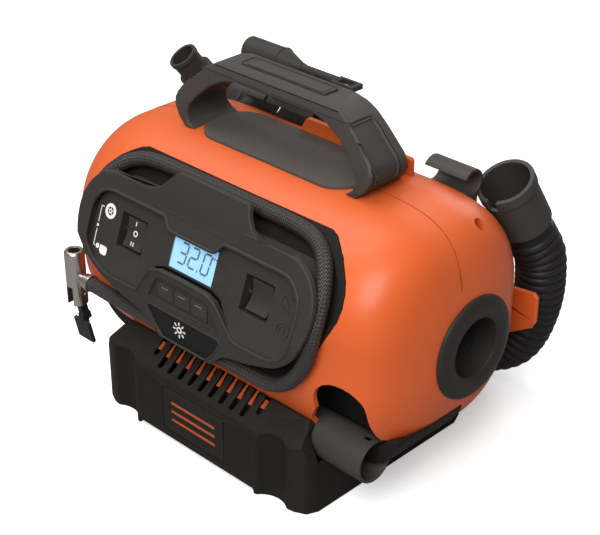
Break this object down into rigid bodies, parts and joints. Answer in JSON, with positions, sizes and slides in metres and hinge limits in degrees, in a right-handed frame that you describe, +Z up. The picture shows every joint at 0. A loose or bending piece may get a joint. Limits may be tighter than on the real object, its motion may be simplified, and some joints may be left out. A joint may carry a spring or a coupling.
{
  "type": "portable tyre inflator",
  "caption": "Portable tyre and bedding inflator: barrel body on a base, console with display and switches, handle, stored air hose with chuck, ribbed hose and nozzles.",
  "frame": {"origin": "middle of the base's underside, on the ground", "axes": "+X to the right seen from the console, +Y to the back, +Z up"},
  "size_m": [0.3298, 0.2453, 0.2564],
  "materials": {
    "orange_shell": "satin moulded",
    "charcoal_plastic": "fine texture",
    "soft_grey": "soft touch",
    "black_rubber": "matt",
    "ribbed_black": "satin",
    "dark_lens": "polished",
    "display_glass": "clear",
    "display_blue": "lit",
    "board_green": "satin",
    "steel": "brushed",
    "plated": "satin plated",
    "cast_alloy": "cast",
    "grey_plastic": "satin",
    "pale_nylon": "satin"
  },
  "bodies": {
    "housing": {"base_tray": "charcoal_plastic", "base_feet": "black_rubber", "name_plate": "charcoal_plastic", "front_shell": "orange_shell", "rear_shell": "orange_shell", "hose_guide_block": "orange_shell", "nozzle_bay": "charcoal_plastic", "channel_plate": "charcoal_plastic", "console_hub": "charcoal_plastic", "front_flange": "charcoal_plastic", "console_panel": "charcoal_plastic", "lcd_window": "display_glass", "lcd_module": "display_blue", "control_board": "board_green", "left_switch_body": "ribbed_black", "right_switch_body": "ribbed_black", "top_pad": "soft_grey", "handle_frame": "charcoal_plastic", "grip_inlay": "soft_grey", "port_ring_left": "soft_grey", "port_ring_right": "soft_grey", "left_duct": "charcoal_plastic", "right_duct": "charcoal_plastic", "blower_housing": "grey_plastic", "blower_motor": "steel", "compressor_frame": "cast_alloy", "compressor_motor": "steel", "cylinder": "cast_alloy", "cylinder_head": "cast_alloy", "air_hose": "black_rubber", "hose_ferrule": "plated", "chuck_body": "plated", "chuck_pin": "steel", "chuck_seal": "black_rubber", "ribbed_hose": "ribbed_black", "hose_connector": "charcoal_plastic", "hose_nozzle": "charcoal_plastic", "right_clip": "charcoal_plastic", "left_clip": "charcoal_plastic", "nozzle_cradle": "charcoal_plastic", "shell_screws": "steel", "base_screws": "steel", "power_socket": "charcoal_plastic"},
    "left_rocker": {"left_rocker": "soft_grey"},
    "right_rocker": {"right_rocker": "soft_grey"},
    "button_left": {"button_left": "charcoal_plastic"},
    "button_mid": {"button_mid": "charcoal_plastic"},
    "button_right": {"button_right": "charcoal_plastic"},
    "light_button": {"light_button": "dark_lens"},
    "blower_wheel": {"blower_wheel": "pale_nylon"},
    "crank_gear": {"crank_gear": "pale_nylon"},
    "motor_pinion": {"motor_pinion": "steel"},
    "piston": {"piston": "cast_alloy", "con_rod": "steel"},
    "chuck_lever": {"chuck_lever": "ribbed_black"},
    "taper_nozzle": {"taper_nozzle": "charcoal_plastic"},
    "wide_nozzle": {"wide_nozzle": "charcoal_plastic"}
  },
  "joints": [
    {"name": "left_rocker_pivot", "type": "hinge", "parent": "housing", "child": "left_rocker", "pos_m": [-0.06, -0.07714, 0.1487], "axis": [1, 0, 0], "range_deg": [-10, 10]},
    {"name": "right_rocker_pivot", "type": "hinge", "parent": "housing", "child": "right_rocker", "pos_m": [0.06, -0.07714, 0.1487], "axis": [1, 0, 0], "range_deg": [-10, 10]},
    {"name": "button_left_press", "type": "slide", "parent": "housing", "child": "button_left", "axis": [0, 1, 0], "range_m": [0, 0.0008], "stiffness_N_per_m": 800, "springref_m": -0.0006},
    {"name": "button_mid_press", "type": "slide", "parent": "housing", "child": "button_mid", "axis": [0, 1, 0], "range_m": [0, 0.0008], "stiffness_N_per_m": 800, "springref_m": -0.0006},
    {"name": "button_right_press", "type": "slide", "parent": "housing", "child": "button_right", "axis": [0, 1, 0], "range_m": [0, 0.0008], "stiffness_N_per_m": 800, "springref_m": -0.0006},
    {"name": "light_button_press", "type": "slide", "parent": "housing", "child": "light_button", "axis": [0, 1, 0], "range_m": [0, 0.0008], "stiffness_N_per_m": 800, "springref_m": -0.0006},
    {"name": "blower_spin", "type": "hinge", "parent": "housing", "child": "blower_wheel", "pos_m": [0, 0.0216, 0.1076], "axis": [1, 0, 0], "continuous": true},
    {"name": "crank_spin", "type": "hinge", "parent": "housing", "child": "crank_gear", "pos_m": [-0.062, -0.03, 0.102], "axis": [1, 0, 0], "continuous": true},
    {"name": "pinion_spin", "type": "hinge", "parent": "housing", "child": "motor_pinion", "pos_m": [-0.062, -0.03, 0.072], "axis": [1, 0, 0], "continuous": true},
    {"name": "piston_slide", "type": "slide", "parent": "housing", "child": "piston", "axis": [0, 0, 1], "range_m": [-0.016, 0]},
    {"name": "chuck_lever_pivot", "type": "hinge", "parent": "housing", "child": "chuck_lever", "pos_m": [-0.1275, -0.083, 0.08], "axis": [1, 0, 0], "range_deg": [-90, 0]},
    {"name": "taper_nozzle_lift", "type": "slide", "parent": "housing", "child": "taper_nozzle", "axis": [0, 0, 1], "range_m": [0, 0.03]},
    {"name": "wide_nozzle_pull", "type": "slide", "parent": "housing", "child": "wide_nozzle", "axis": [1, 0, 0], "range_m": [0, 0.065]}
  ],
  "couplings": [
    {"joint": "pinion_spin", "follows": "crank_spin", "ratio": -4}
  ]
}
